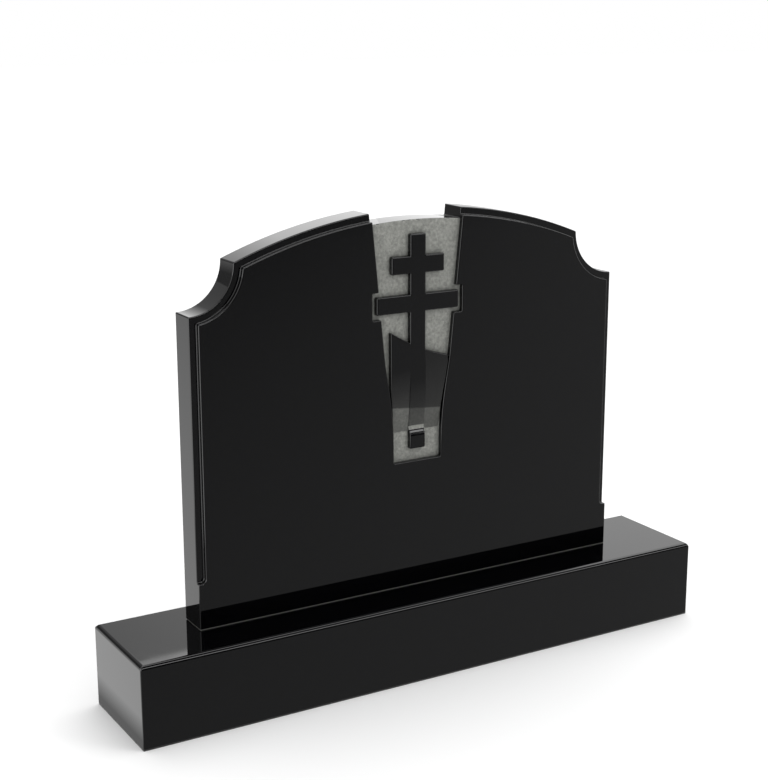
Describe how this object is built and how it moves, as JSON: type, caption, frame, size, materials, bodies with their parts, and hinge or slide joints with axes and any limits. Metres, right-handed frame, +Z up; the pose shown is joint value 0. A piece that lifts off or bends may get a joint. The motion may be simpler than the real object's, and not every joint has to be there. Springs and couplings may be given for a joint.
{
  "type": "horizontal headstone",
  "caption": "Low, wide headstone: an arched polished stele with scalloped shoulders and a cross in a tapered recess, set on a long bevelled plinth.",
  "frame": {"origin": "centre of the plinth's underside", "axes": "+X along the front to the viewer's right, -Y out of the front, +Z up"},
  "size_m": [1.2, 0.216, 0.8672],
  "materials": {
    "polished_granite": "polished",
    "bed_mortar": "matte"
  },
  "bodies": {
    "root": {"plinth": "polished_granite", "bed_joint": "bed_mortar", "stele": "polished_granite", "cross": "polished_granite"}
  },
  "joints": []
}
